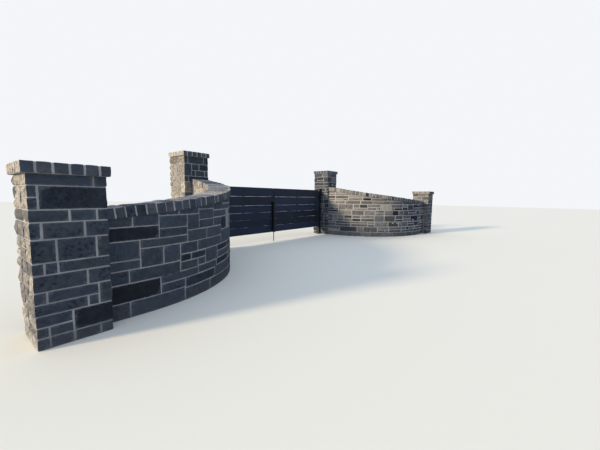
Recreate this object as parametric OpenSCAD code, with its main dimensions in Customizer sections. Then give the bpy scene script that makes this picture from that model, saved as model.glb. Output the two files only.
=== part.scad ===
// Entrance wall of squared grey stone: two curved wing walls that rise from low
// outer piers to tall gate piers, with a pair of boarded gate leaves between them.
// X runs along the gate, Y from the road into the yard, Z up. Millimetres.
// The origin is on the ground, under the middle of the whole entrance.

/* [Piers] */
// Side of every square pier
pier_w = 610; // [500:5:760]
// Height of the two outer piers, cap included
outer_pier_h = 1720; // [1500:10:2000]
// Height of the two gate piers, cap included
gate_pier_h = 2440; // [2100:10:2700]
// Height of the cap course on a pier
cap_h = 105; // [60:5:150]
// How far the cap of an outer pier stands out past the pier
cap_over = 40; // [10:1:60]
// How far the cap of a gate pier stands out past the pier
gate_cap_over = 33; // [10:1:60]

/* [Plan] */
// Clear width between the gate piers
gate_gap = 5260; // [4600:10:6200]
// How far the outer piers stand outside the gate piers
wing_out = 3107; // [2900:10:3800]
// How far the outer piers stand in front of the gate piers
wing_forward = 2834; // [2300:10:3000]

/* [Wing walls] */
// Thickness of the wing walls
wall_t = 360; // [250:5:380]
// Set-back of the wall from the road face of its outer pier
road_setback = 180; // [120:5:210]
// Set-back of the wall from the drive face of its gate pier
drive_setback = 70; // [40:5:160]
// Top of the coping where it meets the outer pier
wall_low = 1285; // [1000:5:1500]
// Top of the coping where it meets the gate pier
wall_high = 1820; // [1600:5:2100]
// Sag of the sweeping coping line below a straight rake
wall_sag = 40; // [0:5:80]
// Height of the coping course
coping_h = 125; // [80:5:160]
// How far the coping stands out past each face of the wall
coping_over = 28; // [0:1:30]

/* [Gate posts] */
// Side of the square steel gate posts, each bedded against its pier
post_w = 115; // [100:5:160]
// How far the middle of the gate stands behind the road face of its piers
gate_setback = 355; // [260:5:400]
// Height of the gate posts
post_h = 1760; // [1740:5:1950]
// Thickness of the plate that closes a gate post
post_plate_t = 8; // [4:1:12]
// How far that plate stands out past the post
post_plate_over = 6; // [0:1:12]

/* [Gate leaves] */
// Underside of the boards above the ground
leaf_clear = 298; // [150:1:400]
// Height of each of the four lower boards
board_h = 210; // [180:5:250]
// Height of each of the two upper boards
top_board_h = 265; // [225:5:300]
// Gap between boards
board_gap = 5; // [3:1:15]
// Thickness of the boards
board_t = 25; // [19:1:38]
// Side of the square tube of the leaf frames
frame_w = 50; // [40:1:52]
// How far the boards stand past the frame, above and below
frame_inset = 12; // [5:1:30]
// Gap between the two closed leaves
meeting_gap = 20; // [12:1:40]

/* [Hinges] */
// Gap between a gate post and the frame of its leaf
hinge_gap = 66; // [64:1:80]
// Radius of the hinge pins
pin_r = 10; // [8:0.5:12]
// Clearance round a hinge pin in its eye
pin_clear = 0.4; // [0.2:0.1:1]
// Outer radius of the hinge knuckles
knuckle_r = 18; // [15:0.5:22]
// Height of one hinge knuckle
knuckle_h = 50; // [30:1:80]
// Thickness of the lugs that carry the knuckles
lug_t = 12; // [8:1:16]
// How far the hinges stand from the ends of the hinge stile
hinge_inset = 230; // [150:5:350]
// Gap under a hinge eye and under the bolt handle, where each rests
seat_gap = 0.3; // [0.2:0.1:1]

/* [Drop bolt] */
// Side of the square tube that guides the drop bolt
guide_w = 76; // [60:1:90]
// Wall of that tube
guide_wall = 5; // [3:1:8]
// Height of the tube
guide_h = 965; // [800:5:1100]
// Radius of the bolt
bolt_r = 12; // [10:1:20]
// Clearance round the bolt in the end plates of its tube
bolt_clear = 0.4; // [0.2:0.1:1]
// Thickness of those end plates
guide_plate_t = 10; // [6:1:15]
// Foot of the bolt above the ground
bolt_foot = 8; // [5:1:30]
// How far the bolt lifts
bolt_lift = 150; // [80:5:200]
// Length of the handle that turns out from the top of the bolt
handle_l = 130; // [90:5:160]
// Radius of that handle
handle_r = 10; // [8:1:14]

/* [Hidden] */
$fn = 48;

stone = [0.36, 0.38, 0.42];
pale_stone = [0.46, 0.48, 0.52];
steel = [0.10, 0.11, 0.14];
dark_wood = [0.16, 0.18, 0.26];

// Places of the piers, for the right-hand side; the left-hand side is its mirror
gate_pier_x = (gate_gap + pier_w) / 2;
outer_pier_x = gate_pier_x + wing_out;
road_y = -(wing_forward + pier_w) / 2;
gate_road_y = road_y + wing_forward;
gate_pier_y = gate_road_y + pier_w / 2;
gate_y = gate_road_y + gate_setback;

// The wing's arc: a quarter circle between a straight stub and the gate pier
bays = 4;
steps = 8;
face_r = wing_forward - road_setback;
arc_x = gate_gap / 2 + drive_setback + face_r;
arc_y = gate_road_y;
mid_r = face_r - wall_t / 2;
stub_l = outer_pier_x - pier_w / 2 - arc_x;
wing_l = stub_l + mid_r * PI / 2;

// Gate, for the right-hand side
post_x = (gate_gap - post_w) / 2;
hinge_x = post_x - post_w / 2 - hinge_gap / 2;
leaf_out = hinge_x - hinge_gap / 2;
leaf_in = meeting_gap / 2;
leaf_w = leaf_out - leaf_in;
board_list = [board_h, board_h, board_h, board_h, top_board_h, top_board_h];
function board_z(i) = i == 0 ? leaf_clear : board_z(i - 1) + board_list[i - 1] + board_gap;
leaf_top = board_z(5) + top_board_h;
frame_low = leaf_clear + frame_inset;
frame_high = leaf_top - frame_inset;
board_front = gate_y - frame_w / 2 - board_t;
hinge_zs = [frame_low + hinge_inset, frame_high - hinge_inset];
bolt_x = leaf_in + guide_w / 2;
bolt_y = board_front - guide_w / 2;
bolt_top = leaf_clear + guide_h + seat_gap + 2 * handle_r;

// A station on the wing: how much of the straight stub is left, and the angle turned
function stations(bay) = concat(
    bay == 1 ? [[stub_l, 0]] : [],
    [for (i = [0 : steps]) [0, 90 * ((bay - 1) + i / steps) / bays]]
);
function wing_share(s) = (stub_l - s[0] + mid_r * s[1] * PI / 180) / wing_l;
function wing_top(s) = let (t = wing_share(s))
    wall_low + (wall_high - wall_low) * t - wall_sag * sin(180 * t);
function wing_point(s, r, z) = [arc_x + s[0] - r * sin(s[1]), arc_y - r * cos(s[1]), z];

// One bay of a band that follows the wing: r_in and r_out are its two faces, and it
// reaches from drop_low to drop_high below the coping line, or from the ground
module wing_band(bay, r_in, r_out, drop_high, drop_low = -1) {
    st = stations(bay);
    n = len(st);
    low = function (s) drop_low < 0 ? 0 : wing_top(s) - drop_low;
    high = function (s) wing_top(s) - drop_high;
    points = [for (s = st) each [
        wing_point(s, r_in, low(s)), wing_point(s, r_out, low(s)),
        wing_point(s, r_out, high(s)), wing_point(s, r_in, high(s))
    ]];
    sides = [for (k = [0 : n - 2], c = [0 : 3]) let (
        a = 4 * k + c, b = 4 * k + (c + 1) % 4
    ) each [[a, a + 4, b], [b, a + 4, b + 4]]];
    last = 4 * (n - 1);
    ends = [[0, 1, 2], [0, 2, 3], [last, last + 2, last + 1], [last, last + 3, last + 2]];
    polyhedron(points, concat(sides, ends));
}

module on_side(side) {
    if (side == "left") mirror([1, 0, 0]) children();
    else children();
}

module shaft(x, y, h) {
    translate([x - pier_w / 2, y - pier_w / 2, 0]) cube([pier_w, pier_w, h - cap_h]);
}

module cap(x, y, h, over) {
    w = pier_w + 2 * over;
    translate([x - w / 2, y - w / 2, h - cap_h]) cube([w, w, cap_h]);
}

module outer_pier() {
    color(stone) shaft(outer_pier_x, road_y + pier_w / 2, outer_pier_h);
}

module outer_pier_cap() {
    color(pale_stone) cap(outer_pier_x, road_y + pier_w / 2, outer_pier_h, cap_over);
}

module gate_pier() {
    color(stone) shaft(gate_pier_x, gate_pier_y, gate_pier_h);
}

module gate_pier_cap() {
    color(pale_stone) cap(gate_pier_x, gate_pier_y, gate_pier_h, gate_cap_over);
}

module wall_bay(bay) {
    color(stone) wing_band(bay, face_r - wall_t, face_r, coping_h);
}

module coping_bay(bay) {
    color(pale_stone)
        wing_band(bay, face_r - wall_t - coping_over, face_r + coping_over, 0, coping_h);
}

module gate_post() {
    plate_w = post_w + 2 * post_plate_over;
    color(steel) union() {
        translate([post_x - post_w / 2, gate_y - post_w / 2, 0])
            cube([post_w, post_w, post_h - post_plate_t]);
        translate([gate_gap / 2 - plate_w, gate_y - plate_w / 2, post_h - post_plate_t])
            cube([plate_w, plate_w, post_plate_t]);
    }
}

// Lower knuckle, its lug on the post, and the pin that stands in it
module hinge_pins() {
    color(steel) for (z = hinge_zs) {
        translate([hinge_x, gate_y, z]) union() {
            translate([0, 0, -knuckle_h]) cylinder(r = knuckle_r, h = knuckle_h);
            translate([0, -lug_t / 2, -knuckle_h]) cube([hinge_gap / 2, lug_t, knuckle_h]);
            cylinder(r = pin_r, h = knuckle_h + pin_r);
        }
    }
}

// Upper knuckle on the frame, bored for the pin
module hinge_eyes() {
    color(steel) for (z = hinge_zs) {
        translate([hinge_x, gate_y, z + seat_gap]) difference() {
            union() {
                cylinder(r = knuckle_r, h = knuckle_h);
                translate([-hinge_gap / 2, -lug_t / 2, 0]) cube([hinge_gap / 2, lug_t, knuckle_h]);
            }
            translate([0, 0, -1]) cylinder(r = pin_r + pin_clear, h = knuckle_h + 2);
        }
    }
}

module leaf_rails() {
    color(steel) for (z = [frame_low, frame_high - frame_w])
        translate([leaf_in, gate_y - frame_w / 2, z]) cube([leaf_w, frame_w, frame_w]);
}

module leaf_stiles() {
    clear_h = frame_high - frame_low - 2 * frame_w;
    color(steel) for (x = [leaf_in, (leaf_in + leaf_out - frame_w) / 2, leaf_out - frame_w])
        translate([x, gate_y - frame_w / 2, frame_low + frame_w]) cube([frame_w, frame_w, clear_h]);
}

module leaf_boards() {
    color(dark_wood) for (i = [0 : len(board_list) - 1])
        translate([leaf_in, board_front, board_z(i)]) cube([leaf_w, board_t, board_list[i]]);
}

module drop_bolt_guide() {
    inner = guide_w - 2 * guide_wall;
    color(steel) translate([bolt_x, bolt_y, leaf_clear]) difference() {
        translate([-guide_w / 2, -guide_w / 2, 0]) cube([guide_w, guide_w, guide_h]);
        translate([-inner / 2, -inner / 2, guide_plate_t])
            cube([inner, inner, guide_h - 2 * guide_plate_t]);
        translate([0, 0, -1]) cylinder(r = bolt_r + bolt_clear, h = guide_h + 2);
    }
}

module drop_bolt() {
    color(steel) translate([bolt_x, bolt_y, 0]) union() {
        translate([0, 0, bolt_foot]) cylinder(r = bolt_r, h = bolt_top - bolt_foot);
        translate([0, 0, bolt_top - handle_r]) rotate([0, 90, 0])
            cylinder(r = handle_r, h = handle_l);
    }
}

for (side = ["left", "right"]) {
    on_side(side) outer_pier();
    on_side(side) outer_pier_cap();
    on_side(side) gate_pier();
    on_side(side) gate_pier_cap();
    for (bay = [1 : bays]) {
        on_side(side) wall_bay(bay);
        on_side(side) coping_bay(bay);
    }
    on_side(side) gate_post();
    on_side(side) hinge_pins();
    on_side(side) leaf_rails();
    on_side(side) leaf_stiles();
    on_side(side) leaf_boards();
    on_side(side) hinge_eyes();
}
on_side("left") drop_bolt_guide();
on_side("left") drop_bolt();
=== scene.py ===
# %% [markdown]
# # An entrance wall in stone, with a boarded gate
# Two wing walls of squared grey stone turn a quarter circle each from a low outer pier to a
# tall gate pier, and their coping sweeps up towards the gate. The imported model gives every
# size and place. This file adds the looks: each stone, the coping and cap stones, the boards
# and bolts of the gate, and a finish for every surface. We start by loading the model.

# %% Load the fixed model
import bpy
import math
import random
from mathutils import Matrix, Vector


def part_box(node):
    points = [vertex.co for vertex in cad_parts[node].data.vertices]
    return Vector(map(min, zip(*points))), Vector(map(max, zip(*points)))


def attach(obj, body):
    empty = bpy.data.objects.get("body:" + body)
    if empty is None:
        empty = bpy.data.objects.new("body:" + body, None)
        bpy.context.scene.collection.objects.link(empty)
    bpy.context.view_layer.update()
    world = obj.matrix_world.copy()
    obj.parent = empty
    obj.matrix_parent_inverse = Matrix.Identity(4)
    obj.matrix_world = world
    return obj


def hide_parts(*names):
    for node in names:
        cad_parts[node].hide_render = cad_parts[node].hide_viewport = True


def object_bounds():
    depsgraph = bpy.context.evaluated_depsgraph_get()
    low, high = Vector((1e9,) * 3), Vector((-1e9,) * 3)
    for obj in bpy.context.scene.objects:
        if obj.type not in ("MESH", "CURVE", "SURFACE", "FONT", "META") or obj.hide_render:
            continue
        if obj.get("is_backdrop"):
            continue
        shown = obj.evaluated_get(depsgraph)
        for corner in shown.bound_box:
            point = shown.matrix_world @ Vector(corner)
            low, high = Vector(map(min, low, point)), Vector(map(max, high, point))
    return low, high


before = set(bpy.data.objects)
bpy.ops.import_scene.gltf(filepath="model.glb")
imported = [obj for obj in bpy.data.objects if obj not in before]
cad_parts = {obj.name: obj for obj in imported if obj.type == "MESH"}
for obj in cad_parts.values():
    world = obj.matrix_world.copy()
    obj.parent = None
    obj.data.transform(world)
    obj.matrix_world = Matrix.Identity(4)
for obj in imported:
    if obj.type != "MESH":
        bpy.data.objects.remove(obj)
model_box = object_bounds()
print("model box", [[round(v, 3) for v in corner] for corner in model_box])

# %% [markdown]
# ## Sizes
# The stones have to sit exactly where the masonry is, so the sizes come from the boxes of the
# loaded nodes. Only what a box can't tell, such as the thickness of a curved wall, is written
# as a number here.

# %% Sizes of the masonry, in metres
def corners(node):
    low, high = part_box(node)
    return Vector(low), Vector(high)


PIER = 0.61
WALL_T = 0.360
COPING_H = 0.125
COPING_OUT = 0.028
FRONT_SETBACK = 0.180  # from the front of the outer pier back to the wing
DRIVE_SETBACK = 0.070  # from the drive side of the gate pier back to the wing
TOP_LOW, TOP_HIGH, SAG = 1.285, 1.820, 0.040
JOINT = 0.0065  # width of a fine joint
RECESS = 0.004  # how far the mortar lies behind the faces
SIDES = {"left": -1, "right": 1}

gate_low = corners("right_gate_pier")[0]
outer_low = corners("right_outer_pier")[0]
FACE_R = (gate_low.y - outer_low.y) - FRONT_SETBACK
MID_R = FACE_R - WALL_T / 2
ARC_X = gate_low.x + DRIVE_SETBACK + FACE_R
ARC_Y = gate_low.y
STUB = outer_low.x - ARC_X
WING = STUB + MID_R * math.pi / 2
print("wing face radius %.3f m, straight stub %.3f m, length %.3f m" % (FACE_R, STUB, WING))


def coping_top(along):
    share = along / WING
    return TOP_LOW + (TOP_HIGH - TOP_LOW) * share - SAG * math.sin(math.pi * share)


# %% [markdown]
# ## Writing node trees as formulas
# A node tree is a formula drawn as a picture. This small class lets us write it as a formula
# again: each plus or times adds one Math node, in a material or in a modifier alike. It keeps
# the trees below short enough to read.

# %% A value that can be added, multiplied and compared
def put(tree, socket, value):
    if isinstance(value, Value):
        tree.links.new(value.socket, socket)
    elif isinstance(value, bpy.types.NodeSocket):
        tree.links.new(value, socket)
    else:
        socket.default_value = value


def add(tree, kind, inputs=None, **settings):
    node = tree.nodes.new(kind)
    for key, value in settings.items():
        setattr(node, key, value)
    for key, value in (inputs or {}).items():
        put(tree, node.inputs[key], value)
    return node


class Value:
    def __init__(self, tree, socket):
        self.tree, self.socket = tree, socket

    def math(self, operation, *others):
        node = add(self.tree, "ShaderNodeMath", operation=operation)
        for socket, value in zip(node.inputs, (self,) + others):
            put(self.tree, socket, value)
        return Value(self.tree, node.outputs[0])

    def __add__(self, other): return self.math("ADD", other)
    def __sub__(self, other): return self.math("SUBTRACT", other)
    def __rsub__(self, other): return (self * -1.0).math("ADD", other)
    def __mul__(self, other): return self.math("MULTIPLY", other)
    def __truediv__(self, other): return self.math("DIVIDE", other)
    def sin(self): return self.math("SINE")
    def cos(self): return self.math("COSINE")
    def round(self): return self.math("ROUND")
    def floor(self): return self.math("FLOOR")
    def least(self, other): return self.math("MINIMUM", other)
    def most(self, other): return self.math("MAXIMUM", other)
    def below(self, other): return self.math("LESS_THAN", other)
    def size(self): return self.math("ABSOLUTE")

    def span(self, low, high, to_low=0.0, to_high=1.0):
        """Maps low to high onto to_low to to_high, and stops at the ends."""
        node = add(self.tree, "ShaderNodeMapRange", {
            "Value": self, "From Min": low, "From Max": high, "To Min": to_low, "To Max": to_high})
        return Value(self.tree, node.outputs[0])


def xyz(tree, x, y, z):
    return add(tree, "ShaderNodeCombineXYZ", {"X": x, "Y": y, "Z": z}).outputs[0]


def split_xyz(tree, vector):
    return [Value(tree, out) for out in add(tree, "ShaderNodeSeparateXYZ", {0: vector}).outputs]


def noise(tree, where, scale, detail=2.0, rough=0.5):
    node = add(tree, "ShaderNodeTexNoise", {
        "Vector": where, "Scale": scale, "Detail": detail, "Roughness": rough})
    return Value(tree, node.outputs["Fac"])


# %% [markdown]
# ## Shared effects
# Stone, mortar, wood and paint all carry the same three things: a fine grain, broad cloudy
# patches, and dirt splashed up from the ground. Each is a node group with named inputs, built
# once. A group gives out only masks and heights, and each material decides what they do.

# %% A new group, for a material or a modifier
FLOAT, VECTOR = "NodeSocketFloat", "NodeSocketVector"
GEOMETRY, OBJECT, MATERIAL = "NodeSocketGeometry", "NodeSocketObject", "NodeSocketMaterial"


def new_group(kind, name, inputs, outputs):
    """An input is given by its default number, or by its kind where it has none.
    Returns the group's tree, its inputs as values, and its output node."""
    tree = bpy.data.node_groups.new(name, kind)
    for label, given in inputs.items():
        is_kind = isinstance(given, str)
        socket = tree.interface.new_socket(label, in_out="INPUT", socket_type=given if is_kind else FLOAT)
        if not is_kind:
            socket.default_value = given
    for label, socket_kind in outputs.items():
        tree.interface.new_socket(label, in_out="OUTPUT", socket_type=socket_kind)
    start, end = tree.nodes.new("NodeGroupInput"), tree.nodes.new("NodeGroupOutput")
    return tree, {label: Value(tree, start.outputs[label]) for label in inputs}, end


# %% Groups for grain, clouds and splashed dirt
# Grain: fine pits and a coarser chiselled unevenness
grain, g, end = new_group("ShaderNodeTree", "Grain", {
    "Where": VECTOR, "Fine": 160.0, "Coarse": 22.0, "Seed": 0.0}, {"Mask": FLOAT, "Height": FLOAT})
shift = g["Seed"] * 7.3
shifts = xyz(grain, shift, shift, shift)
seeded = add(grain, "ShaderNodeVectorMath", {0: g["Where"], 1: shifts}, operation="ADD").outputs[0]
fine = noise(grain, seeded, g["Fine"], 3.0, 0.65)
coarse = noise(grain, seeded, g["Coarse"], 4.0, 0.6)
put(grain, end.inputs["Mask"], fine * 0.4 + coarse * 0.6)
put(grain, end.inputs["Height"], fine * 0.25 + coarse)

# Clouds: broad patches
clouds, g, end = new_group("ShaderNodeTree", "Clouds", {
    "Where": VECTOR, "Scale": 3.0, "Low": 0.4, "High": 0.65}, {"Mask": FLOAT})
patch = noise(clouds, g["Where"], g["Scale"], 5.0, 0.6)
put(clouds, end.inputs["Mask"], patch.span(g["Low"], g["High"]))

# Splash: 1 at the ground, fading out at the Reach, with a ragged edge
splash, g, end = new_group("ShaderNodeTree", "Splash", {"Where": VECTOR, "Reach": 0.25}, {"Mask": FLOAT})
ragged = noise(splash, g["Where"], 9.0, 3.0) * 0.5 + 0.6
height = split_xyz(splash, g["Where"])[2] / (ragged * g["Reach"])
put(splash, end.inputs["Mask"], height.span(0.0, 1.0, 1.0, 0.0))
print("groups:", [group.name for group in bpy.data.node_groups])


# %% [markdown]
# ## The stone
# The wall is of squared stone with faces left as they split. From stone to stone it goes from
# nearly black slate grey through blue grey to a warm pale grey. Each stone carries two numbers
# of its own, a tone and a seed, so that one material can colour all of them: the tone picks
# the colour and the seed moves the patterns, so no two stones look alike.

# %% Helpers for materials
def new_material(name):
    material = bpy.data.materials.new(name)
    material.use_nodes = True
    tree = material.node_tree
    shader = tree.nodes["Principled BSDF"]
    where = add(tree, "ShaderNodeTexCoord").outputs["Object"]
    return material, tree, shader, where


def place(tree, group, inputs):
    node = tree.nodes.new("ShaderNodeGroup" if tree.type == "SHADER" else "GeometryNodeGroup")
    node.node_tree = group
    for key, value in inputs.items():
        put(tree, node.inputs[key], value)
    return node


def mask_of(tree, group, **inputs):
    return Value(tree, place(tree, group, inputs).outputs["Mask"])


def grain_at(tree, where, fine, coarse, seed):
    """Returns the mask and the height of the grain."""
    node = place(tree, grain, {"Where": where, "Fine": fine, "Coarse": coarse, "Seed": seed})
    return Value(tree, node.outputs["Mask"]), Value(tree, node.outputs["Height"])


def ramp(tree, value, stops):
    node = tree.nodes.new("ShaderNodeValToRGB")
    put(tree, node.inputs[0], value)
    while len(node.color_ramp.elements) < len(stops):
        node.color_ramp.elements.new(0.5)
    for element, (at, colour) in zip(node.color_ramp.elements, stops):
        element.position, element.color = at, (*colour, 1.0)
    return node.outputs[0]


def blend(tree, share, one, two, kind="MIX"):
    """Mixes two colours. Sockets 6 and 7 of the node take them, and its output 2 is the result."""
    node = add(tree, "ShaderNodeMix", data_type="RGBA", blend_type=kind)
    for index, value in ((0, share), (6, one), (7, two)):
        if isinstance(value, tuple):
            value = (*value, 1.0)
        put(tree, node.inputs[index], value)
    return node.outputs[2]


def surface(tree, shader, colour, rough, height, strength, distance):
    """Gives the shader its colour, its roughness and its bumps."""
    bumps = add(tree, "ShaderNodeBump", {"Height": height, "Strength": strength, "Distance": distance})
    for socket, value in (("Base Color", colour), ("Roughness", rough), ("Normal", bumps.outputs[0])):
        put(tree, shader.inputs[socket], value)


def read(tree, name):
    return Value(tree, add(tree, "ShaderNodeAttribute", attribute_name=name).outputs["Fac"])


# %% Stone
STONE_COLOURS = [
    (0.0, (0.009, 0.012, 0.018)), (0.20, (0.025, 0.032, 0.044)), (0.42, (0.061, 0.076, 0.094)),
    (0.62, (0.100, 0.116, 0.133)), (0.82, (0.185, 0.180, 0.170)), (1.0, (0.400, 0.375, 0.320))]
RUST, PIT, STONE_DIRT = (0.115, 0.098, 0.078), (0.010, 0.012, 0.016), (0.110, 0.112, 0.115)
TOP_PAINTED_SHADE, DUST = (0.035, 0.045, 0.060), (0.48, 0.48, 0.48)
PAINTED_SUNLIGHT, SMEARED = (0.88, 0.77, 0.60), (0.22, 0.235, 0.25)


def stone_material(name, pits, smeared):
    """pits and smeared say how much is seen of the dark pits, and of mortar on the edges."""
    material, tree, shader, where = new_material(name)
    tone, seed = read(tree, "tone"), read(tree, "seed")
    mask, height = grain_at(tree, where, 130.0, 24.0, seed)
    blotch = mask_of(tree, clouds, Where=where, Scale=11.0, Low=0.38, High=0.62)
    # one stone in three is mottled with dark spots of a few centimetres
    spotted = (seed * 143.0).sin().span(0.2, 0.6)
    spots = noise(tree, where, 26.0, 3.0, 0.65).span(0.50, 0.62) * noise(tree, where, 5.0).span(0.40, 0.55)
    shade = tone + (mask - 0.5) * 0.48 + (blotch - 0.5) * 0.12 - spots * spotted * 0.28
    colour = ramp(tree, shade, STONE_COLOURS)
    # some stones are cool and some warm, by their seed
    warm = (seed * 57.0).sin() * 0.5 + 0.5
    colour = blend(tree, 1.0, colour, blend(tree, warm, (0.96, 1.0, 1.05), (1.04, 1.0, 0.94)), "MULTIPLY")
    # rusty patches, dark pits in clusters, and dirt near the ground
    rusty = mask_of(tree, clouds, Where=where, Scale=4.5, Low=0.56, High=0.78)
    colour = blend(tree, rusty * 0.22, colour, RUST)
    specks = noise(tree, where, 62.0, 2.0, 0.7).span(0.57, 0.66) * noise(tree, where, 3.2).span(0.45, 0.60)
    colour = blend(tree, specks * pits, colour, PIT)
    colour = blend(tree, mask_of(tree, splash, Where=where, Reach=0.20) * 0.50, colour, STONE_DIRT)
    # faces that look up are painted a dark blue grey as painted shade, and a pale dusty grey in places
    normal = split_xyz(tree, add(tree, "ShaderNodeTexCoord").outputs["Normal"])
    dusty = mask.span(0.36, 0.64) * 0.5 + (seed * 77.0).sin() * 0.42 + 0.25
    colour = blend(tree, normal[2].span(0.5, 0.9) * 0.85, colour, blend(tree, dusty, TOP_PAINTED_SHADE, DUST))
    # sides that face the low lamp are painted paler and warmer: this is painted sunlight
    sunny = normal[0].span(-0.35, -0.80)
    painted_sun_share = read(tree, "sun_paint") * sunny * tone.span(0.10, 0.40) * mask.span(0.40, 0.60, 0.12, 0.95)
    colour = blend(tree, painted_sun_share, colour, PAINTED_SUNLIGHT)
    # mortar was smeared over the edges of a stone
    smear = read(tree, "edge").span(0.0, 0.020, 1.0, 0.0) * noise(tree, where, 26.0, 4.0, 0.65).span(0.44, 0.60)
    colour = blend(tree, smear * smeared, colour, SMEARED)
    surface(tree, shader, colour, mask.span(0.2, 0.8, 0.72, 0.95), height - specks * 0.3, 0.75, 0.012)
    return material


stone = stone_material("Split stone", 0.7, 0.75)
cap_stone = stone_material("Cap stone", 0.35, 0.0)

# %% Mortar
mortar, tree, shader, where = new_material("Mortar")
mask, height = grain_at(tree, where, 420.0, 60.0, 3.0)
colour = ramp(tree, mask, [(0.3, (0.50, 0.475, 0.43)), (0.7, (0.66, 0.625, 0.56))])
dull = mask_of(tree, clouds, Where=where, Scale=3.6, Low=0.42, High=0.60)
colour = blend(tree, dull * 0.34, colour, (0.18, 0.177, 0.168))
colour = blend(tree, mask_of(tree, splash, Where=where, Reach=0.25) * 0.60, colour, (0.12, 0.122, 0.125))
surface(tree, shader, colour, mask.span(0.2, 0.8, 0.85, 0.98), height, 0.5, 0.002)
print("stone and mortar ready")

# %% [markdown]
# ## Laying out the stones
# A mason lays random ashlar in bands. A band is filled with stones of its full height, and here
# and there with two thinner ones stacked, so that the beds run level but break every metre or
# so. The faces that show best in the photograph are listed stone for stone. The
# others are laid by the same rule with a fixed seed.

# %% A stone is (start, end, bottom, top, tone), measured along the face, in metres
STACK_FROM, STACK_SHARE = 0.17, 0.62  # bands of this height or more, and how often they are stacked
HALVE_FROM, HALVE_SHARE = 0.36, 0.3  # stacked stones of this width or more, and how often they are halved
BAND_STEPS = (0.11, 0.14, 0.16, 0.20, 0.225)
LEAST_BAND, MOST_BAND = 0.10, 0.25


def tone_of(dice):
    """A few stones are dark, most are of a middle tone, and some are pale."""
    pick = dice.random()
    if pick < 0.12:
        return dice.uniform(0.02, 0.12)
    if pick < 0.84:
        return dice.uniform(0.28, 0.62)
    return dice.uniform(0.62, 0.86)


def fill_band(start, end, low, high, dice, shortest, longest):
    """Fills one band with stones, and now and then stacks two thinner ones."""
    stones, at = [], start
    while at < end - 1e-6:
        width = dice.uniform(shortest, longest)
        if end - at - width < shortest:
            width = end - at if end - at < longest * 1.15 else (end - at) / 2
        if high - low > STACK_FROM and dice.random() < STACK_SHARE:
            cut = low + (high - low) * dice.uniform(0.38, 0.62)
            mid = at + width * dice.uniform(0.35, 0.65)
            halves = [dice.random() < HALVE_SHARE for _ in range(2)]
            for bottom, top, two in ((low, cut, halves[0]), (cut, high, halves[1])):
                ends = (at, mid, at + width) if two and width > HALVE_FROM else (at, at + width)
                stones += [(left, right, bottom, top, tone_of(dice)) for left, right in zip(ends, ends[1:])]
        else:
            stones.append((at, at + width, low, high, tone_of(dice)))
        at += width
    return stones


def bands(height, dice):
    """Band heights that add up to the given height."""
    levels = [0.0]
    while levels[-1] < height - 1e-6:
        step, rest = dice.choice(BAND_STEPS), height - levels[-1]
        if rest - step < LEAST_BAND:
            step = rest if rest < MOST_BAND else rest / 2
        levels.append(levels[-1] + step)
    return list(zip(levels, levels[1:]))


# %% Faces listed stone for stone
# Tones: dark, slate, middle and light
D, S, M, L = 0.05, 0.22, 0.43, 0.98
near_wing = [
    (0, .25, 0, .19, M), (.25, .98, 0, .19, M), (.98, 1.52, 0, .17, M), (1.52, 2.3, 0, .165, M),
    (0, .62, .19, .408, D), (.62, .99, .19, .312, M), (.99, 1.68, .17, .315, S),
    (1.68, 2.35, .165, .33, M), (.62, 1.24, .312, .42, M), (1.24, 1.74, .315, .43, M),
    (1.74, 2.28, .33, .435, D), (0, .25, .408, .567, M), (.25, .915, .408, .567, M),
    (.915, 1.24, .42, .543, M), (1.24, 1.415, .43, .543, M), (0, .38, .567, .679, M),
    (.38, .672, .567, .8, M), (.672, .92, .567, .8, M), (.92, 1.11, .543, .645, D),
    (1.11, 1.415, .543, .645, S), (1.415, 1.775, .43, .65, M), (1.775, 2.35, .435, .55, M),
    (1.775, 2.24, .55, .65, D), (0, .38, .679, .905, M), (.38, 1.05, .8, .905, M),
    (.92, 1.245, .645, .8, M), (1.245, 1.94, .65, .8, M), (1.94, 2.55, .65, .885, M),
    (0, .62, .905, 1.067, D), (.62, 1.05, .905, 1.02, M), (1.05, 1.46, .8, .963, M),
    (1.46, 1.94, .8, .963, M), (0, .31, 1.067, 1.4, M), (.31, .62, 1.067, 1.4, M),
    (.62, 1.05, 1.02, 1.18, M), (1.05, 1.28, .963, 1.18, M), (.62, .91, 1.18, 1.4, M),
    (.91, 1.28, 1.18, 1.4, M), (1.28, 1.66, 1.092, 1.243, M), (1.28, 1.66, .963, 1.092, M),
    (1.28, 1.66, 1.243, 1.5, M), (1.66, 1.94, .963, 1.1, M), (1.94, 2.2, .885, 1.1, D),
    (1.66, 2.2, 1.1, 1.215, M), (2.2, 2.45, .885, 1.215, L), (1.66, 2.02, 1.215, 1.6, M),
    (2.02, 2.55, 1.215, 1.315, M), (2.02, 2.6, 1.315, 1.6, M)]
# A pier's front is a list of bands: (bottom, top, stones). A stone that fills its band is
# written as (start, end, tone).
near_pier = [
    (0, .11, [(0, .09, M), (.09, .277, M), (.277, .5, M), (.5, .61, M)]),
    (.11, .319, [(0, .09, .11, .21, M), (.09, .275, .11, .21, M), (0, .275, .21, .319, M),
        (.275, .61, D)]),
    (.319, .539, [(0, .405, .319, .428, M), (.405, .5, .319, .428, M), (0, .088, .428, .539, M),
        (.088, .5, .428, .539, M), (.5, .61, M)]),
    (.539, .695, [(0, .409, M), (.409, .61, M)]),
    (.695, .805, [(0, .082, M), (.082, .183, M), (.183, .61, M)]),
    (.805, 1.02, [(0, .178, M), (.178, .5, M), (.5, .61, M)]),
    (1.02, 1.177, [(0, .08, M), (.08, .41, M), (.41, .61, M)]),
    (1.177, 1.292, [(0, .294, M), (.294, .518, M), (.518, .61, M)]),
    (1.292, 1.51, [(0, .07, 1.292, 1.402, M), (0, .07, 1.402, 1.51, M), (.07, .61, S)]),
    (1.51, 1.615, [(0, .5, M), (.5, .61, M)])]
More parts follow.
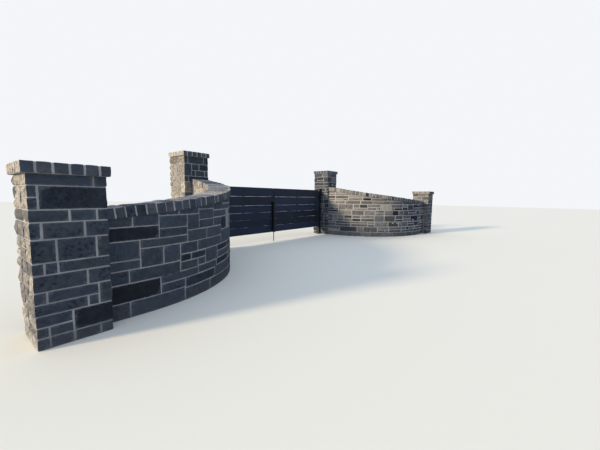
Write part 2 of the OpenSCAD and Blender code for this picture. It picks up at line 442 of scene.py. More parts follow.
far_wing = [
    (1.95, 2.4, .55, .78, M), (2.4, 2.78, .55, .78, .62), (2.78, 3.26, .67, .78, .6),
    (2.78, 3.26, .55, .67, M), (3.26, 3.58, .66, .78, .62), (3.26, 3.58, .55, .66, D),
    (2.08, 2.4, .78, .97, .58), (2.4, 2.75, .78, .88, .64), (2.4, 2.75, .88, .97, M),
    (2.75, 3.15, .78, .97, .6), (3.15, 3.6, .78, .97, .56), (1.63, 2, .97, 1.07, D),
    (2, 2.13, .97, 1.07, M), (1.63, 2.13, 1.07, 1.19, M), (2.13, 2.55, .97, 1.19, L),
    (2.55, 2.7, .97, 1.08, S), (2.7, 3.03, .97, 1.08, .6), (2.55, 3.03, 1.08, 1.19, .66),
    (3.03, 3.32, 1.05, 1.19, S), (3.03, 3.55, .97, 1.05, .6), (3.32, 3.55, 1.05, 1.19, M)]
# The front of the left gate pier is laid in darker tones than M and S elsewhere: painted shade.
gate_front = [
    (1.75, 1.88, [(0, .1, .35), (.1, .61, .17)]),
    (1.88, 2.165, [(0, .18, 1.88, 2.165, .35), (.18, .27, 1.88, 2.015, .17),
        (.27, .52, 1.88, 2.015, .35), (.52, .61, 1.88, 2.015, .35), (.18, .37, 2.015, 2.165, .35),
        (.37, .61, 2.015, 2.165, .17)]),
    (2.165, 2.335, [(0, .09, .35), (.09, .49, .35), (.49, .61, .35)])]
NEAR_EDGES = [0.0, 0.165, 0.33, 0.435, 0.55, 0.65, 0.885, 1.10, 1.215, 1.315, 1.50, 1.75]
FAR_EDGES = [0.0, 0.16, 0.36, 0.55, 0.78, 0.97, 1.19, 1.32, 1.50, 1.72]
print("stones laid out by hand:", len(near_wing), "on the near wing,", len(far_wing), "on the far one")

# %% [markdown]
# ## Stones that turn a corner
# On a real pier a corner stone shows its end on one face and its length on the next. If each
# face were laid out alone, a joint would run up every corner. So the four faces are unrolled
# into one strip, the stones are laid along it, and the strip is folded round the pier later.
# A joint never falls within 70 mm of a corner.

# %% One strip round a pier, and one along a wing
CORNER_CLEAR = 0.07  # least distance from a joint to a corner
# No stone darker than this is laid on the sunny side of a pier, which also keeps that side pale as painted
# sunlight.
SUNNY_TONE = 0.32  # no darker stone was laid on the sunny side
PIER_STONES, WING_STONES = (0.15, 0.50), (0.20, 0.62)  # shortest and longest
LEAST_RISE, LEAST_END = 0.035, 0.03  # of a stone cut to the slope, at its high and its low end


def pier_strip(height, dice, front=()):
    """Lays the stones of a pier. Bands named in front have their front face laid as listed."""
    stones = []
    plain = bands(front[0][0] if front else height, dice)
    for low, high, by_hand in [(*band, None) for band in plain] + list(front):
        left, right = dice.uniform(0.17, 0.34), dice.uniform(0.17, 0.34)
        if by_hand is None:
            start = dice.uniform(-0.30, -0.10)
            end = start + 4 * PIER
        else:
            for s in by_hand:
                s = s if len(s) == 5 else (s[0], s[1], low, high, s[2])
                ends = (s[0] - (left if s[0] == 0 else 0), s[1] + (right if s[1] == PIER else 0))
                stones.append(ends + s[2:])
            start, end = PIER + right, 4 * PIER - left
        for attempt in range(400):
            row = fill_band(start, end, low, high, dice, *PIER_STONES)
            if all(abs(x - round(x / PIER) * PIER) > CORNER_CLEAR for s in row for x in s[:2]):
                break
        for s in row:
            sunny = s[1] > 3 * PIER or s[0] < -0.05
            stones.append(s[:4] + (max(s[4], SUNNY_TONE) if sunny else s[4],))
    return stones


def to_middle(face_s):
    """Turns a length read on the drive face into one on the middle line of the wall."""
    return min(face_s, STUB) + max(face_s - STUB, 0.0) * MID_R / FACE_R


def under_coping(along):
    return coping_top(along) - COPING_H


def wing_strip(dice, by_hand=(), edges=None):
    """Lays one face of a wing, from its outer pier to its gate pier, and cuts it to the slope."""
    hand = [(to_middle(s[0]), to_middle(s[1])) + s[2:] for s in by_hand]
    rows = zip(edges, edges[1:]) if edges else bands(TOP_HIGH - COPING_H, dice)
    stones = list(hand)
    for low, high in rows:
        laid = [s for s in hand if s[2] < (low + high) / 2 < s[3]]
        first, last = (min(s[0] for s in laid), max(s[1] for s in laid)) if laid else (0.0, 0.0)
        for start, end in ((0.0, first), (last, WING)):
            stones += fill_band(start, end, low, high, dice, *WING_STONES)
    cut = []
    for start, end, low, high, tone in stones:
        if under_coping(end) <= low + LEAST_RISE:
            continue
        short = low + LEAST_END - under_coping(start)
        if short > 0:
            start += (end - start) * short / (under_coping(end) - under_coping(start))
        tops = min(high, under_coping(start)), min(high, under_coping(end))
        cut.append((start, end, low, tops, tone))
    return cut


dice = random.Random(7)
print("stones round the near pier:", len(pier_strip(1.615, dice, near_pier)))
plain, laid = wing_strip(dice), wing_strip(dice, near_wing, NEAR_EDGES)
print("stones on a wing face:", len(plain), "and on the near one:", len(laid))

# %% [markdown]
# ## Stones as points
# Each stone becomes one point that carries its sizes as attributes. Geometry Nodes will put a
# copy of one template on every point and stretch it to those sizes. All points stay at the
# origin, because the place of a stone is one of its attributes too.

# %% Points with attributes
def link(name, data):
    thing = bpy.data.objects.new(name, data)
    bpy.context.collection.objects.link(thing)
    return thing


def set_numbers(mesh, numbers):
    for key, values in numbers.items():
        mesh.attributes.new(key, "FLOAT", "POINT").data.foreach_set("value", [float(v) for v in values])


def points(name, rows):
    """rows: one dictionary of numbers for each stone."""
    mesh = bpy.data.meshes.new(name)
    mesh.vertices.add(len(rows))
    set_numbers(mesh, {key: [row[key] for row in rows] for key in rows[0]})
    return link(name, mesh)


def face_points(name, stones, dice, bed=1.0, upright=1.5, sun_paint=0.0, spread=0.035):
    """bed and upright widen the joints, and spread lets the tones stray."""
    rows = []
    for start, end, low, high, tone in stones:
        top_l, top_r = high if isinstance(high, tuple) else (high, high)
        gap, end_gap = JOINT / 2 * bed * dice.uniform(0.7, 1.2), JOINT / 2 * upright * dice.uniform(0.7, 1.3)
        rows.append({
            "along": (start + end) / 2, "wide": end - start - 2 * end_gap,
            "low": low + gap, "top_l": top_l - gap, "top_r": top_r - gap,
            "tone": tone + dice.uniform(-spread, spread), "seed": dice.random(),
            # each stone takes its own share of the painted sunlight on its sunny side
            "proud": dice.uniform(-0.002, 0.003), "sun_paint": sun_paint * dice.uniform(0.25, 1.0)})
    return points(name, rows)


# %% [markdown]
# ## Two templates
# A facing stone shows only its face, so its template is an open sheet whose rim drops back into
# the mortar. A coping or cap stone shows most sides, so its template is a closed block. On both,
# the rows of points near an edge keep a fixed distance from it, whatever the stone's size, so
# that every arris is rounded by the same few millimetres. Each point stores that distance.

# %% The open face and the closed block
FACE_COLUMNS, FACE_ROWS = 8, 4
# A point on an edge or at a corner of a block moves in by this share of the rounding
PULL_IN = {1: 0.0, 2: 0.29, 3: 0.42}


def axis_steps(parts, ring):
    """Where the points lie from -1 to 1, and how far from the edge each one stays."""
    steps = [(-1.0, 0.0), (-1.0, ring)]
    steps += [(-1.0 + 2.0 * k / parts, ring) for k in range(1, parts)]
    return steps + [(1.0, ring), (1.0, 0.0)]


def template(name, verts, faces, numbers):
    mesh = bpy.data.meshes.new(name)
    mesh.from_pydata(verts, [], faces)
    set_numbers(mesh, numbers)
    return link(name, mesh)


def face_template(name, ring):
    us, vs = axis_steps(FACE_COLUMNS, ring), axis_steps(FACE_ROWS, ring)
    verts, numbers = [], {"in_x": [], "in_z": [], "back": []}
    for j, (v, in_z) in enumerate(vs):
        for i, (u, in_x) in enumerate(us):
            verts.append((u, 0, v))
            numbers["in_x"].append(in_x)
            numbers["in_z"].append(in_z)
            numbers["back"].append(i in (0, len(us) - 1) or j in (0, len(vs) - 1))
    n = len(us)
    faces = [(j * n + i, j * n + i + 1, (j + 1) * n + i + 1, (j + 1) * n + i)
             for j in range(len(vs) - 1) for i in range(n - 1)]
    return template(name, verts, faces, numbers)


def block_template(name, parts, ring):
    axes = [axis_steps(p, ring) for p in parts]
    last = [len(steps) - 1 for steps in axes]
    index, verts, numbers, faces = {}, [], {"in_x": [], "in_y": [], "in_z": []}, []

    def at(*ijk):
        if ijk not in index:
            index[ijk] = len(verts)
            verts.append(tuple(axes[a][ijk[a]][0] for a in range(3)))
            ends = [a for a in range(3) if ijk[a] in (0, last[a])]
            pull = PULL_IN[len(ends)] * ring
            for a, key in enumerate(numbers):
                numbers[key].append(axes[a][ijk[a]][1] + (pull if a in ends else 0.0))
        return index[ijk]

    for a in range(3):
        b, c = (a + 1) % 3, (a + 2) % 3
        for end in (0, last[a]):
            for i in range(last[b]):
                for j in range(last[c]):
                    four = []
                    for di, dj in ((0, 0), (1, 0), (1, 1), (0, 1)):
                        key = [0, 0, 0]
                        key[a], key[b], key[c] = end, i + di, j + dj
                        four.append(at(*key))
                    faces.append(four if end else four[::-1])
    return template(name, verts, faces, numbers)


face_sheet = face_template("stone face", 0.004)
small_block = block_template("block", (3, 4, 3), 0.005)
print("face template:", len(face_sheet.data.polygons), "faces, block template:", len(small_block.data.polygons))

# %% [markdown]
# ## The trees
# Two small groups say where things go. "Wing sweep" bends the strip of a wing round its
# quarter circle and gives the rising coping line. "Pier fold" folds a strip round a square
# pier. The trees for facing and coping stretch a template to each stone and use one of these
# groups to place it; the block tree places and turns its blocks itself. Each adds a rough
# surface and sets the material.

# %% Groups for the sweep of a wing and the fold of a pier
# Wing sweep: Along is measured on the middle line of the wall
sweep, g, end = new_group("GeometryNodeTree", "Wing sweep", {
    "Along": 0.0, "Radius": MID_R, "Side": 1.0, "Stub": STUB, "Middle radius": MID_R, "Arc X": ARC_X,
    "Arc Y": ARC_Y, "Low top": TOP_LOW, "High top": TOP_HIGH, "Sag": SAG},
    {"X": FLOAT, "Y": FLOAT, "Top": FLOAT})
straight = g["Along"].least(g["Stub"])
turn = (g["Along"] - g["Stub"]).most(0.0) / g["Middle radius"]
put(sweep, end.inputs["X"], g["Side"] * (g["Arc X"] + g["Stub"] - straight - g["Radius"] * turn.sin()))
put(sweep, end.inputs["Y"], g["Arc Y"] - g["Radius"] * turn.cos())
share = g["Along"] / (g["Stub"] + g["Middle radius"] * (math.pi / 2))
rise = (g["High top"] - g["Low top"]) * share
put(sweep, end.inputs["Top"], g["Low top"] + rise - g["Sag"] * (share * math.pi).sin())

# Pier fold: also moves the column of points nearest to a corner onto it
fold, g, end = new_group("GeometryNodeTree", "Pier fold", {
    "Along": 0.0, "Out": 0.0, "Snap": 0.0, "Side length": PIER, "Centre X": 0.0, "Centre Y": 0.0},
    {"X": FLOAT, "Y": FLOAT, "Sunny": FLOAT})
corner_at = (g["Along"] / g["Side length"]).round() * g["Side length"]
near = (g["Along"] - corner_at).size().below(g["Snap"])
along = g["Along"] + near * (corner_at - g["Along"])
face = (along / g["Side length"] + 0.0001).floor()
half = g["Side length"] * 0.5
across = (along - (face + 0.5) * g["Side length"]) * ((half + g["Out"]) / half)
angle = face * (math.pi / 2)
away = (half + g["Out"]) * -1.0
put(fold, end.inputs["X"], g["Centre X"] + across * angle.cos() - away * angle.sin())
put(fold, end.inputs["Y"], g["Centre Y"] + across * angle.sin() + away * angle.cos())
put(fold, end.inputs["Sunny"], (angle.sin() * -1.0).most(0.0))
print("geometry groups:", sweep.name, "and", fold.name)


# %% Helpers for geometry trees
def named(tree, *names):
    """Reads attributes by name: one value, or a list where several are named."""
    kind = "GeometryNodeInputNamedAttribute"
    values = [Value(tree, add(tree, kind, {"Name": name}, data_type="FLOAT").outputs[0]) for name in names]
    return values if len(values) > 1 else values[0]


def local(tree):
    return split_xyz(tree, add(tree, "GeometryNodeInputPosition").outputs[0])


def store(tree, geometry, name, value):
    node = add(tree, "GeometryNodeStoreNamedAttribute", {"Geometry": geometry, "Name": name}, data_type="FLOAT")
    put(tree, node.inputs["Value"], value)
    return node.outputs[0]


def scatter(tree, spots, instance):
    placed = add(tree, "GeometryNodeInstanceOnPoints", {"Points": spots, "Instance": instance})
    return add(tree, "GeometryNodeRealizeInstances", {"Geometry": placed.outputs[0]}).outputs[0]


def copies(tree, g):
    stretched = add(tree, "GeometryNodeObjectInfo", {"Object": g["Template"]}).outputs["Geometry"]
    return scatter(tree, g["Geometry"], stretched)


def finish_tree(tree, end, material, geometry, spot=None, flip=None):
    """Moves every point to its spot, turns the faces over where flip is 1, and sets the material."""
    if spot is not None:
        geometry = add(tree, "GeometryNodeSetPosition", {"Geometry": geometry, "Position": spot}).outputs[0]
    if flip is not None:
        geometry = add(tree, "GeometryNodeFlipFaces", {"Mesh": geometry, "Selection": flip}).outputs[0]
    done = add(tree, "GeometryNodeSetMaterial", {"Geometry": geometry, "Material": material})
    put(tree, end.inputs["Geometry"], done.outputs[0])
    return tree


# %% The facing tree, for a wing or a pier
# A corner takes the column of points that lies within this part of a stone's width, which is
# a little more than half the distance between two columns
SNAP_PART = 2 * FACE_COLUMNS - 0.1
TREE_INPUTS = {"Geometry": GEOMETRY, "Template": OBJECT, "Material": MATERIAL}


def facing_tree(kind):
    tree, g, end = new_group("GeometryNodeTree", "Facing on a " + kind, {
        **TREE_INPUTS, "Relief": 0.013, "Pillow": 0.002, "Tilt": 0.001, "Rim": 0.014, "Ragged": 0.006,
        "Rock face": 0.011, "Radius": FACE_R, "Side": 1.0, "Facing": 1.0, "Centre X": 0.0, "Centre Y": 0.0},
        {"Geometry": GEOMETRY})
    stones = copies(tree, g)
    u, _, v = local(tree)
    wide, low, top_l, top_r = named(tree, "wide", "low", "top_l", "top_r")
    middle, seed, back, in_x, in_z = named(tree, "along", "seed", "back", "in_x", "in_z")
    along = middle + u * (wide * 0.5 - in_x)
    share = (along - middle) / wide + 0.5
    top = top_l + (top_r - top_l) * share
    z = (low + top) * 0.5 + v * ((top - low) * 0.5 - in_z)
    where = xyz(tree, along, seed * 40.0, z)
    edge = noise(tree, where, 14.0, 2.0) - 0.5
    rough = noise(tree, where, 9.0, 4.0, 0.6) - 0.5
    pillow = (1.0 - u * u) * (1.0 - v * v)
    tilt = u * (seed * 91.0).sin() + v * (seed * 37.0).sin()
    inner = (1.0 - u * u * u * u * u * u) * (1.0 - v * v * v * v)
    relief = (inner * 0.8 + 0.2) * (1.0 - back) * rough * g["Relief"] * 2.0
    out = named(tree, "proud") + g["Pillow"] * pillow + g["Tilt"] * tilt + relief - back * g["Rim"]
    from_side = (1.0 - u.size()) * wide * 0.3 + in_x
    from_bed = (1.0 - v.size()) * (top - low) * 0.5 + in_z
    stones = store(tree, stones, "edge", from_side.least(from_bed))
    along = along + edge * g["Ragged"] * u * -1.0
    z = z + edge * g["Ragged"] * v * -1.0
    if kind == "wing":
        radius = g["Radius"] + g["Facing"] * out
        node = place(tree, sweep, {"Along": along, "Radius": radius, "Side": g["Side"]})
        flip = (g["Side"] * g["Facing"] * -1.0).below(0.0)
    else:
        # the sunny side of a pier is rock-faced: it bulges, and is rougher than the front
        snap = wide / SNAP_PART
        sunny = Value(tree, place(tree, fold, {"Along": along, "Snap": snap}).outputs["Sunny"])
        out = out + sunny * (1.0 - back) * g["Rock face"] * (pillow * 0.45 + rough * 3.2 + 0.20)
        node = place(tree, fold, {
            "Along": along, "Out": out, "Snap": snap, "Centre X": g["Centre X"], "Centre Y": g["Centre Y"]})
        flip = None
    spot = xyz(tree, node.outputs["X"], node.outputs["Y"], z)
    return finish_tree(tree, end, g["Material"], stones, spot, flip)


wing_facing, pier_facing = facing_tree("wing"), facing_tree("pier")

# %% [markdown]
# ## Coping along the sweep, and blocks anywhere
# The coping is a row of stones on edge that follows both the curve and the rise of the wall.
# Each joint stands square to the slope, as a mason would set it. The second tree here puts
# plain blocks at given places, turned by quarter turns, for the pier caps and the gate boards.

# %% The coping tree and the block tree
def coping_tree():
    tree, g, end = new_group("GeometryNodeTree", "Coping on a wing", {
        **TREE_INPUTS, "Height": COPING_H, "Depth": WALL_T + 2 * COPING_OUT, "Middle radius": MID_R,
        "Rough": 0.008, "Crown": 0.008, "Side": 1.0}, {"Geometry": GEOMETRY})
    stones = copies(tree, g)
    u, t, v = local(tree)
    wide, seed, drop, in_x, in_y, in_z = named(tree, "wide", "seed", "drop", "in_x", "in_y", "in_z")
    along = named(tree, "along") + u * (wide * 0.5 - in_x)
    up = (v - 1.0) * (g["Height"] * 0.5) - v * in_z
    across = t * (g["Depth"] * 0.5 - in_y)
    where = xyz(tree, along, across + seed * 50.0, up)
    dent = noise(tree, where, 16.0, 3.0, 0.6).span(0.35, 0.75) * g["Rough"]
    uneven = drop + u * (seed * 91.0).sin() * 0.006 + t * (seed * 37.0).sin() * 0.003
    up = up - (dent * 0.35 + uneven * 0.5 - (1.0 - t * t) * g["Crown"] * 0.5) * (v + 1.0)
    across = across - t * dent
    leaned = along - up * ((TOP_HIGH - TOP_LOW) / WING)
    node = place(tree, sweep, {"Along": leaned, "Radius": g["Middle radius"] - across, "Side": g["Side"]})
    level = place(tree, sweep, {"Along": along})
    spot = xyz(tree, node.outputs["X"], node.outputs["Y"], Value(tree, level.outputs["Top"]) + up)
    return finish_tree(tree, end, g["Material"], stones, spot, (g["Side"] * -1.0).below(0.0))


def block_tree():
    tree, g, end = new_group("GeometryNodeTree", "Blocks", {
        **TREE_INPUTS, "Rough": 0.006, "Grain": 16.0, "Centre X": 0.0, "Centre Y": 0.0},
        {"Geometry": GEOMETRY})
    stones = copies(tree, g)
    here, offsets = local(tree), []
    for axis, value in zip("xyz", here):
        at, size, inset = named(tree, "at_" + axis, "size_" + axis, "in_" + axis)
        offsets.append(at + value * (size * 0.5 - inset))
    seeded = xyz(tree, offsets[0], offsets[1] + named(tree, "seed") * 50.0, offsets[2])
    dent = noise(tree, seeded, g["Grain"], 3.0, 0.6).span(0.30, 0.75) * g["Rough"]
    x, y, z = [offset - value * dent for offset, value in zip(offsets, here)]
    angle = named(tree, "turns") * (math.pi / 2)
    spot = xyz(tree, x * angle.cos() - y * angle.sin() + g["Centre X"],
               x * angle.sin() + y * angle.cos() + g["Centre Y"], z)
    return finish_tree(tree, end, g["Material"], stones, spot)


wing_coping, blocks = coping_tree(), block_tree()


# %% [markdown]
# ## From a tree to a plain mesh
# The modifier is only the tool. Its result is copied into a plain mesh, so that the piece keeps
# its shape wherever it goes next, and the modifier and the points are removed. Pieces of one
# wall or pier are then joined, stones and mortar together.

# %% Running a tree, and joining its results
KEPT_NUMBERS = ("tone", "seed", "edge", "sun_paint")  # what the stone material reads


def run(tree, source, name, **inputs):
    modifier = source.modifiers.new(tree.name, "NODES")
    modifier.node_group = tree
    sockets = {s.name: s.identifier for s in tree.interface.items_tree if s.in_out == "INPUT"}
    for key, value in inputs.items():
        modifier[sockets[key.replace("_", " ")]] = value
    shaped = source.evaluated_get(bpy.context.evaluated_depsgraph_get())
    mesh = bpy.data.meshes.new_from_object(shaped)
    mesh.name = name
    thing = link(name, mesh)
    bpy.data.objects.remove(source)
    return thing


def join(name, things):
    first = things[0]
    with bpy.context.temp_override(active_object=first, object=first, selected_objects=things,
                                   selected_editable_objects=things):
        bpy.ops.object.join()
    first.name = name
    numbers = first.data.attributes
    for spent in [a.name for a in numbers if a.data_type == "FLOAT" and a.name not in KEPT_NUMBERS]:
        numbers.remove(numbers[spent])
    return first


def keep(thing, body, *nodes, material_slot):
    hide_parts(*nodes)
    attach(thing, body)
    print("%-26s %6d triangles" % (thing.name, sum(len(p.vertices) - 2 for p in thing.data.polygons)))


# %% The mortar behind the stones
MORTAR_STEPS = 72


def solid(name, verts, faces, material):
    mesh = bpy.data.meshes.new(name)
    mesh.from_pydata(verts, [], faces)
    mesh.materials.append(material)
    return link(name, mesh)


def mortar_box(name, low, high, behind, below=0.0):
    """A block of mortar behind the four sides of a box, and below its top."""
    low, high = low + Vector((behind, behind, 0.0)), high - Vector((behind, behind, below))
    verts = [(x, y, z) for x in (low[0], high[0]) for y in (low[1], high[1]) for z in (low[2], high[2])]
    faces = [(0, 1, 3, 2), (4, 6, 7, 5), (0, 4, 5, 1), (2, 3, 7, 6), (0, 2, 6, 4), (1, 5, 7, 3)]
    return solid(name, verts, faces, mortar)


def wing_point(along, radius, sign):
    turn = max(along - STUB, 0.0) / MID_R
    return sign * (ARC_X + STUB - min(along, STUB) - radius * math.sin(turn)), ARC_Y - radius * math.cos(turn)


def wing_mortar(name, sign, inner, outer, drop_low, drop_high):
    """A band along the wing, between two radii, and between two drops under the coping line.
    Where drop_low is None, it stands on the ground."""
    verts, faces = [], []
    for k in range(MORTAR_STEPS + 1):
        along = WING * k / MORTAR_STEPS
        low = 0.0 if drop_low is None else coping_top(along) - drop_low
        high = coping_top(along) - drop_high
        for radius, z in ((outer, low), (inner, low), (inner, high), (outer, high)):
            verts.append((*wing_point(along, radius, sign), z))
    for k in range(MORTAR_STEPS):
        for c in range(4):
            a, b = 4 * k + c, 4 * k + (c + 1) % 4
            faces.append((a, b, b + 4, a + 4))
    faces += [(3, 2, 1, 0), tuple(4 * MORTAR_STEPS + c for c in range(4))]
    if sign > 0:
        faces = [f[::-1] for f in faces]
    return solid(name, verts, faces, mortar)


# %% The wing walls
# Both garden faces and the right drive face have wider joints than the left drive face, and
# two of the four faces carry painted sunlight. Each entry says how stones are laid and how rough they are.
GARDEN_JOINTS, GARDEN_ROCK = {"bed": 2.0, "upright": 2.4, "spread": 0.08}, {"Relief": 0.026, "Pillow": 0.005}
WING_FACES = {
    "left_drive": ({"bed": 1.0, "upright": 1.3}, {"Relief": 0.013}),
    "left_garden": ({**GARDEN_JOINTS, "sun_paint": 0.9}, GARDEN_ROCK),
    "right_drive": ({"bed": 2.8, "upright": 3.0, "sun_paint": 0.42, "spread": 0.14}, {"Relief": 0.020}),
    "right_garden": (GARDEN_JOINTS, GARDEN_ROCK)}
BY_HAND = {"left": (near_wing, NEAR_EDGES), "right": (far_wing, FAR_EDGES)}
MASONRY = "masonry_and_posts"
BAYS = range(1, 5)

dice = random.Random(21)
for side, sign in SIDES.items():
    strips = {"drive": wing_strip(dice, *BY_HAND[side]), "garden": wing_strip(dice)}
    inner, outer = MID_R - WALL_T / 2 + RECESS, FACE_R - RECESS
    parts = [wing_mortar(side + "_wing_mortar", sign, inner, outer, None, COPING_H)]
    for label, radius, facing in (("drive", FACE_R, 1.0), ("garden", FACE_R - WALL_T, -1.0)):
        name = f"{side}_{label}"
        laying, rock = WING_FACES[name]
        spots = face_points(name + "_points", strips[label], dice, **laying)
        parts.append(run(wing_facing, spots, name, Template=face_sheet, Material=stone, Radius=radius,
                         Side=float(sign), Facing=facing, **rock))
    wing = join(side + "_wing_wall", parts)
    keep(wing, MASONRY, *[f"{side}_wall_bay_{n}" for n in BAYS], material_slot="stone")

# %% The coping on them
COPING_STONES = 38
BEHIND_END, BELOW_TOP = 0.008, 0.007  # how far the mortar lies behind the ends and tops of coping stones

pitch = WING / COPING_STONES
reach = WALL_T / 2 + COPING_OUT - BEHIND_END
for side, sign in SIDES.items():
    # each coping stone takes a random share of painted sunlight where it faces the lamp
    rows = [{"along": pitch * (n + 0.5) + dice.uniform(-0.006, 0.006),
             "wide": pitch - JOINT * dice.uniform(1.4, 3.0),
             "sun_paint": dice.uniform(0.0, 1.0), "drop": dice.uniform(0.000, 0.004),
             "tone": dice.uniform(0.38, 0.66) if dice.random() > 0.1 else dice.uniform(0.15, 0.3),
             "seed": dice.random()} for n in range(COPING_STONES)]
    stones = run(wing_coping, points(side + "_coping_points", rows), side + "_coping_stones",
                 Template=small_block, Material=cap_stone, Side=float(sign))
    bed = wing_mortar(side + "_coping_mortar", sign, MID_R - reach, MID_R + reach, COPING_H, BELOW_TOP)
    coping = join(side + "_wing_coping", [stones, bed])
    keep(coping, MASONRY, *[f"{side}_coping_bay_{n}" for n in BAYS], material_slot="cap_stone")

# %% The piers and their caps
PIER_FRONTS = {"left_outer_pier": near_pier, "left_gate_pier": gate_front}
# how much painted sunlight each pier and its cap take on the sunny side
PIER_SUN_PAINT = {"left_outer_pier": 1.0, "left_gate_pier": 1.0, "right_outer_pier": 0.5, "right_gate_pier": 0.0}
PIER_UPRIGHTS = {"outer": 1.9, "gate": 1.5}
CAP_WIDTHS, CAP_DEPTH = [0.102, 0.121, 0.125, 0.115, 0.123], 0.20
CORNER_END = 0.104  # what the end of a corner stone takes up on the next side
CAP_JOINT = JOINT * 1.7
CAP_BEHIND, CAP_BELOW = 0.007, 0.006  # how far the mortar lies behind the sides and the top of a cap


def cap_rows(low, high, dice, sun_paint):
    """Each row starts with a corner stone, and stops where the end of the next row's one shows."""
    half, rows = (high.x - low.x) / 2, []
    for turn in range(4):
        row = CAP_WIDTHS if turn == 0 else dice.sample(CAP_WIDTHS, 5)
        fit, at = (2 * half - CORNER_END) / sum(row), -half
        for number, width in enumerate(row):
            width, deep = width * fit, CORNER_END - CAP_JOINT if number == 0 else CAP_DEPTH
            start = at if number == 0 else at + CAP_JOINT / 2
            wide = at + width - CAP_JOINT / 2 - start
            rows.append({
                "at_x": start + wide / 2, "at_y": -half + deep / 2, "at_z": (low.z + high.z) / 2,
                "size_x": wide, "size_y": deep, "size_z": high.z - low.z, "turns": turn,
                "tone": dice.uniform(0.40, 0.66), "seed": dice.random(), "sun_paint": sun_paint})
            at += width
    return rows


for side in SIDES:
    for kind in ("outer", "gate"):
        node = f"{side}_{kind}_pier"
        low, high = corners(node)
        centre = (low + high) / 2
        strip = pier_strip(high.z, dice, PIER_FRONTS.get(node, ()))
        sun_paint = PIER_SUN_PAINT[node]
        spots = face_points(node + "_points", strip, dice, upright=PIER_UPRIGHTS[kind], sun_paint=sun_paint)
        stones = run(pier_facing, spots, node + "_stones", Template=face_sheet, Material=stone,
                     Centre_X=centre.x, Centre_Y=centre.y)
        core = mortar_box(node + "_mortar", low, high, RECESS)
        keep(join(node + "_masonry", [core, stones]), MASONRY, node, material_slot="stone")

        low, high = corners(node + "_cap")
        spots = points(node + "_cap_points", cap_rows(low, high, dice, sun_paint))
        stones = run(blocks, spots, node + "_cap_stones", Template=small_block, Material=cap_stone,
                     Centre_X=centre.x, Centre_Y=centre.y)
        bed = mortar_box(node + "_cap_mortar", low, high, CAP_BEHIND, CAP_BELOW)
        keep(join(node + "_cap_masonry", [bed, stones]), MASONRY, node + "_cap", material_slot="cap_stone")

# %% [markdown]
# ## Paint and timber
# The posts, hinges and leaf frames are square steel tube under dark paint, a little dusty in
# patches. The boards are stained nearly black, with the grain drawn along them.

# %% Dark paint
paint, tree, shader, where = new_material("Dark paint")
mask, height = grain_at(tree, where, 260.0, 30.0, 1.0)
dust = mask_of(tree, clouds, Where=where, Scale=4.0, Low=0.45, High=0.8)
colour = blend(tree, dust * 0.5, (0.007, 0.009, 0.014), (0.020, 0.024, 0.032))
colour = blend(tree, mask_of(tree, splash, Where=where, Reach=0.35) * 0.5, colour, (0.050, 0.050, 0.048))
surface(tree, shader, colour, mask.span(0.2, 0.8, 0.38, 0.62), height, 0.25, 0.001)
steel_parts = ("gate_post", "hinge_pins", "leaf_rails", "leaf_stiles", "hinge_eyes")
for node in [f"{side}_{part}" for side in SIDES for part in steel_parts] + ["drop_bolt_guide", "drop_bolt"]:
    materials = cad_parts[node].data.materials
    materials.clear()
    materials.append(paint)

# %% Stained boards
timber, tree, shader, where = new_material("Stained boards")
tone, seed = read(tree, "tone"), read(tree, "seed")
x, y, z = split_xyz(tree, where)
lines = noise(tree, xyz(tree, x * 0.06 + seed * 9.0, y, z), 70.0, 5.0, 0.65)
worn = mask_of(tree, clouds, Where=where, Scale=2.2, Low=0.40, High=0.72)
colour = ramp(tree, lines * 0.5 + tone * 0.5, [
    (0.25, (0.0015, 0.004, 0.012)), (0.55, (0.006, 0.016, 0.043)), (0.8, (0.019, 0.042, 0.094))])
colour = blend(tree, worn * 0.25, colour, (0.026, 0.042, 0.075))
surface(tree, shader, colour, lines.span(0.2, 0.8, 0.50, 0.75), lines, 0.45, 0.002)

# %% The boards
BOARD_HEIGHTS, BOARD_GAP = (0.210, 0.210, 0.210, 0.210, 0.265, 0.265), 0.005
board_block = block_template("board", (24, 1, 4), 0.003)


def board_levels(z):
    """The bottom and the height of each board, from the lowest up."""
    for tall in BOARD_HEIGHTS:
        yield z, tall
        z += tall + BOARD_GAP


for side in SIDES:
    low, high = corners(side + "_leaf_boards")
    rows = [{"at_x": (low.x + high.x) / 2, "at_y": (low.y + high.y) / 2, "at_z": z + tall / 2,
             "size_x": high.x - low.x, "size_y": high.y - low.y, "size_z": tall + BOARD_GAP,
             "turns": 0, "tone": dice.uniform(0.2, 0.9), "seed": dice.random()}
            for z, tall in board_levels(low.z)]
    boards = run(blocks, points(side + "_board_points", rows), side + "_boards", Template=board_block,
                 Material=timber, Rough=0.003, Grain=3.0)
    keep(join(side + "_boards", [boards]), side + "_leaf", side + "_leaf_boards", material_slot="boards")

# %% [markdown]
# ## Bolts through the boards
# Each board is held to each stile by two coach bolts. Only their domed heads show. One point
# stands for one bolt, and a small tree puts a flattened ball on every point.

# %% The bolt tree, and the bolts
bolt_tree, g, end = new_group("GeometryNodeTree", "Bolt heads", {
    "Geometry": GEOMETRY, "Material": MATERIAL, "Radius": 0.010, "Height": 0.004}, {"Geometry": GEOMETRY})
ball = add(bolt_tree, "GeometryNodeMeshUVSphere", {"Segments": 10, "Rings": 6, "Radius": 1.0}).outputs[0]
flattened = xyz(bolt_tree, g["Radius"], g["Height"], g["Radius"])
head = add(bolt_tree, "GeometryNodeTransform", {"Geometry": ball, "Scale": flattened}).outputs[0]
finish_tree(bolt_tree, end, g["Material"], scatter(bolt_tree, g["Geometry"], head))

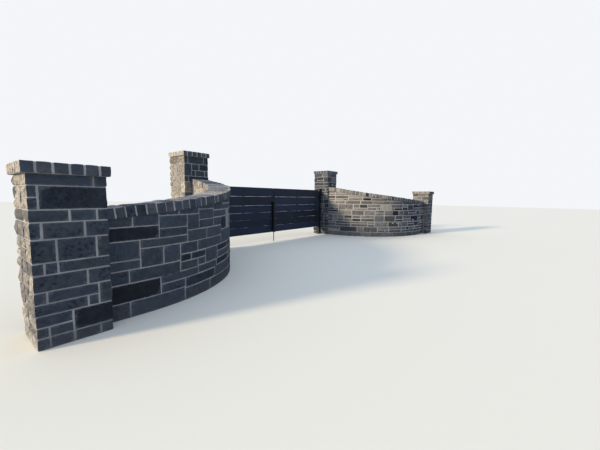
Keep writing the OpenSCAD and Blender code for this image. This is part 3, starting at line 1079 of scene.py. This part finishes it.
FROM_END, FROM_EDGE = 0.025, 0.05  # a bolt's distance from the end of a board, and from its edges
guide_low, guide_high = corners("drop_bolt_guide")
for side in SIDES:
    low, high = corners(side + "_leaf_boards")
    spots = []
    for z, tall in board_levels(low.z):
        for x in (low.x + FROM_END, (low.x + high.x) / 2, high.x - FROM_END):
            for up in (z + FROM_EDGE, z + tall - FROM_EDGE):
                # the drop bolt's tube leaves no room for a head
                if not (guide_low.x - 0.01 < x < guide_high.x + 0.01 and up < guide_high.z + 0.03):
                    spots.append((x, low.y, up))
    seeds = solid(side + "_bolt_points", spots, [], paint)
    heads = run(bolt_tree, seeds, side + "_board_bolts", Material=paint)
    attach(heads, side + "_leaf")
    print(heads.name, len(spots), "bolts")

for thing in (face_sheet, small_block, board_block):
    bpy.data.objects.remove(thing)

# %% [markdown]
# ## Stage, light and camera
# The floor is plain and pale. One wide, warm lamp stands low on the left, and a pale world
# lights the rest. A grey card on the lit faces would show about the colour written for it, and
# one in the shade a third to a half of it. The camera has the photograph's viewing angle.

# %% Floor
FLOOR_REACH, FLOOR_DROP = 60, 0.001

floor_material, tree, shader, where = new_material("Pale floor")
seen = add(tree, "ShaderNodeLightPath").outputs["Is Camera Ray"]
put(tree, shader.inputs["Base Color"], blend(tree, seen, (0.20, 0.20, 0.20), (1.0, 0.97, 0.83)))
shader.inputs["Roughness"].default_value = 0.9
turns = ((-1, -1), (1, -1), (1, 1), (-1, 1))
floor_corners = [(x * FLOOR_REACH, y * FLOOR_REACH, -FLOOR_DROP) for x, y in turns]
floor = solid("floor", floor_corners, [(0, 1, 2, 3)], floor_material)
floor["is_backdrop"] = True

# %% Lamp and world
LAMP_TURN, LAMP_HEIGHT = math.radians(20), math.radians(17.5)

lamp = link("low sun", bpy.data.lights.new("low sun", "SUN"))
lamp.data.energy, lamp.data.angle, lamp.data.color = 3.3, math.radians(8), (1.0, 0.84, 0.63)
towards = Vector((-math.cos(LAMP_TURN), math.sin(LAMP_TURN), math.tan(LAMP_HEIGHT)))
lamp.rotation_euler = towards.to_track_quat("Z", "Y").to_euler()
world = bpy.data.worlds.new("sky")
bpy.context.scene.world = world
world.use_nodes = True
tree = world.node_tree
seen = add(tree, "ShaderNodeLightPath").outputs["Is Camera Ray"]
put(tree, tree.nodes["Background"].inputs["Color"], blend(tree, seen, (0.52, 0.60, 0.76), (0.90, 0.92, 0.95)))

# %% Camera
eye = link("camera", bpy.data.cameras.new("camera"))
bpy.context.scene.camera = eye
eye.data.sensor_width, eye.data.lens, eye.data.clip_end = 36.0, 17.64, 200.0
yaw, pitch, roll = math.radians(51.28), math.radians(5.514), math.radians(0.761)
ahead = Vector((math.sin(yaw) * math.cos(pitch), math.cos(yaw) * math.cos(pitch), -math.sin(pitch)))
right = Vector((math.cos(yaw), -math.sin(yaw), 0.0))
up = right.cross(ahead)
right, up = right * math.cos(roll) + up * math.sin(roll), up * math.cos(roll) - right * math.sin(roll)
turn = Matrix((right, up, -ahead)).transposed().to_4x4()
eye.matrix_world = Matrix.Translation((-6.856, -5.162, 1.440)) @ turn
bpy.context.scene.view_settings.view_transform = "Standard"

# %% Measure and finish
seen_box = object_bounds()
as_lists = lambda box: [[float(v) for v in corner] for corner in box]
{"model": as_lists(model_box), "seen": as_lists(seen_box)}
print("model", as_lists(model_box), "seen", as_lists(seen_box))
